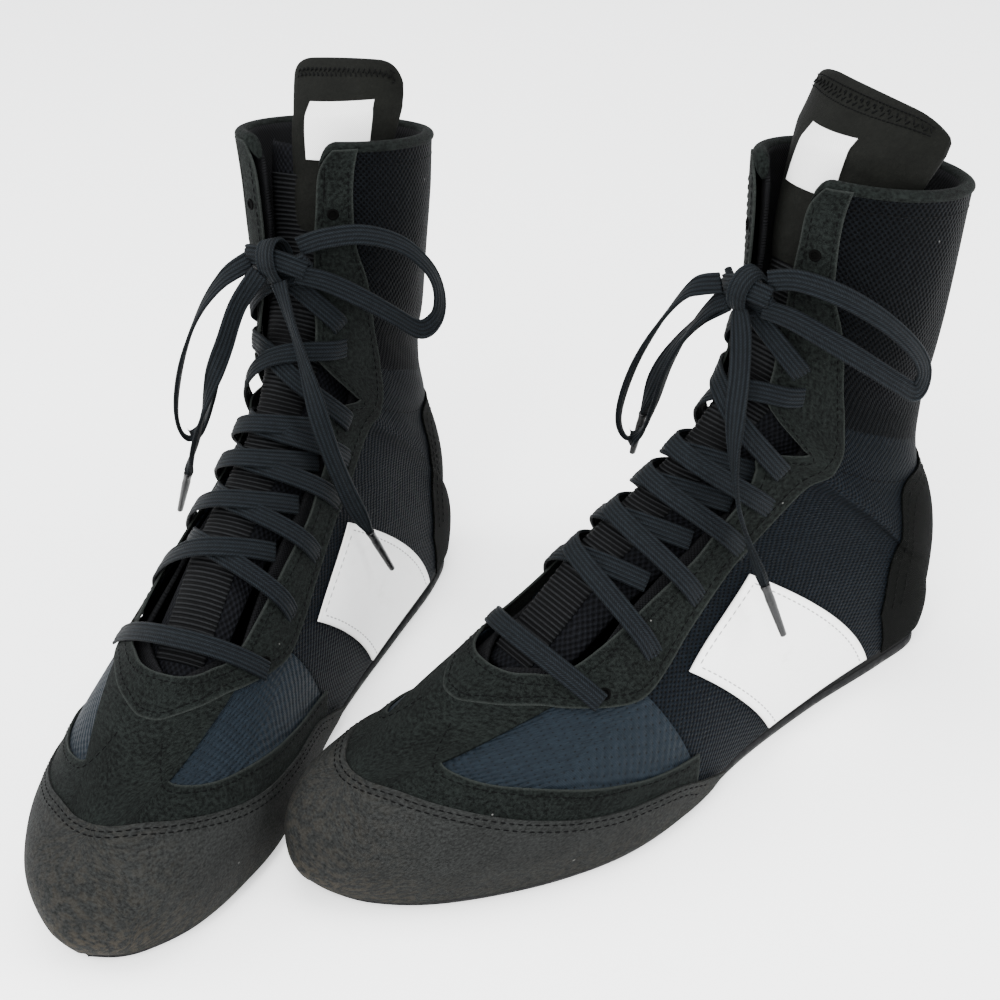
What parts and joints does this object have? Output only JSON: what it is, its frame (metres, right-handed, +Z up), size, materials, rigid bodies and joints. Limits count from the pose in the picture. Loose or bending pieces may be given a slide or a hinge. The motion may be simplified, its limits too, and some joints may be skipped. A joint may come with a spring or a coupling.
{
  "type": "boxing boots",
  "caption": "Pair of high lace-up boxing boots with mesh and suede uppers, rubber toe wrap, thin rubber soles, padded tongue and bow-tied laces.",
  "frame": {"origin": "on the floor under the middle of the pair's box", "axes": "+X towards the left boot's toe, +Y towards the left boot's outer side, +Z up"},
  "size_m": [0.3915, 0.2641, 0.2483],
  "materials": {
    "outsole_rubber": "matte",
    "midsole_foam": "matte",
    "board": "matte",
    "sock_fabric": "matte",
    "wrap_rubber": "matte",
    "suede": "matte",
    "ribbed_suede": "matte",
    "mesh": "matte",
    "white_synthetic": "satin",
    "lining": "matte",
    "webbing": "matte",
    "binding": "matte",
    "lace": "matte",
    "aglet": "satin",
    "tongue_knit": "matte",
    "label": "matte"
  },
  "bodies": {
    "right_foot": {"right_outsole": "outsole_rubber", "right_midsole": "midsole_foam", "right_insole_board": "board", "right_sockliner": "sock_fabric", "right_toe_wrap": "wrap_rubber", "right_vamp_overlay": "suede", "right_forefoot_mesh": "mesh", "right_quarter_mesh": "mesh", "right_eyestays_lower": "suede", "right_heel_overlay": "ribbed_suede", "right_heel_counter": "board", "right_side_bands": "white_synthetic", "right_foot_lining": "lining", "right_lace_rows_lower": "lace", "right_ankle_panel": "mesh", "right_tongue_body": "webbing"},
    "left_foot": {"left_outsole": "outsole_rubber", "left_midsole": "midsole_foam", "left_insole_board": "board", "left_sockliner": "sock_fabric", "left_toe_wrap": "wrap_rubber", "left_vamp_overlay": "suede", "left_forefoot_mesh": "mesh", "left_quarter_mesh": "mesh", "left_eyestays_lower": "suede", "left_heel_overlay": "ribbed_suede", "left_heel_counter": "board", "left_side_bands": "white_synthetic", "left_foot_lining": "lining", "left_lace_rows_lower": "lace", "left_ankle_panel": "mesh", "left_tongue_body": "webbing"},
    "right_shaft": {"right_shaft_lining": "lining", "right_shaft_mesh": "mesh", "right_eyestays_upper": "suede", "right_collar_binding": "binding", "right_lace_rows_ankle": "lace", "right_lace_rows_upper": "lace", "right_lace_knot": "lace", "right_bow_loop_medial": "lace", "right_bow_loop_lateral": "lace", "right_lace_end_medial": "lace", "right_lace_end_lateral": "lace", "right_aglets": "aglet"},
    "left_shaft": {"left_shaft_lining": "lining", "left_shaft_mesh": "mesh", "left_eyestays_upper": "suede", "left_collar_binding": "binding", "left_lace_rows_ankle": "lace", "left_lace_rows_upper": "lace", "left_lace_knot": "lace", "left_bow_loop_medial": "lace", "left_bow_loop_lateral": "lace", "left_lace_end_medial": "lace", "left_lace_end_lateral": "lace", "left_aglets": "aglet"},
    "right_tongue": {"right_tongue_head": "tongue_knit", "right_tongue_label": "label"},
    "left_tongue": {"left_tongue_head": "tongue_knit", "left_tongue_label": "label"}
  },
  "joints": [
    {"name": "left_boot_lift", "type": "slide", "parent": "right_foot", "child": "left_foot", "axis": [0, 0, 1], "range_m": [0, 0.25]},
    {"name": "left_ankle_flex", "type": "hinge", "parent": "left_foot", "child": "left_shaft", "pos_m": [-0.1366, 0.0814, 0.12], "axis": [0, 1, 0], "range_deg": [-8, 12], "stiffness_Nm_per_rad": 5, "deforming": ["left_ankle_panel", "left_tongue_body", "left_lace_rows_ankle", "left_bow_loop_medial", "left_bow_loop_lateral", "left_lace_end_medial", "left_lace_end_lateral", "left_aglets"]},
    {"name": "left_tongue_fold", "type": "hinge", "parent": "left_shaft", "child": "left_tongue", "pos_m": [-0.1306, 0.0834, 0.226], "axis": [0, 1, 0], "range_deg": [-5, 40], "stiffness_Nm_per_rad": 0.06},
    {"name": "right_ankle_flex", "type": "hinge", "parent": "right_foot", "child": "right_shaft", "pos_m": [-0.01172, -0.08045, 0.12], "axis": [-0.524, 0.8517, 0], "range_deg": [-8, 12], "stiffness_Nm_per_rad": 5, "deforming": ["right_ankle_panel", "right_tongue_body", "right_lace_rows_ankle", "right_bow_loop_medial", "right_bow_loop_lateral", "right_lace_end_medial", "right_lace_end_lateral", "right_aglets"]},
    {"name": "right_tongue_fold", "type": "hinge", "parent": "right_shaft", "child": "right_tongue", "pos_m": [-0.00556, -0.07901, 0.226], "axis": [-0.524, 0.8517, 0], "range_deg": [-5, 40], "stiffness_Nm_per_rad": 0.06}
  ]
}
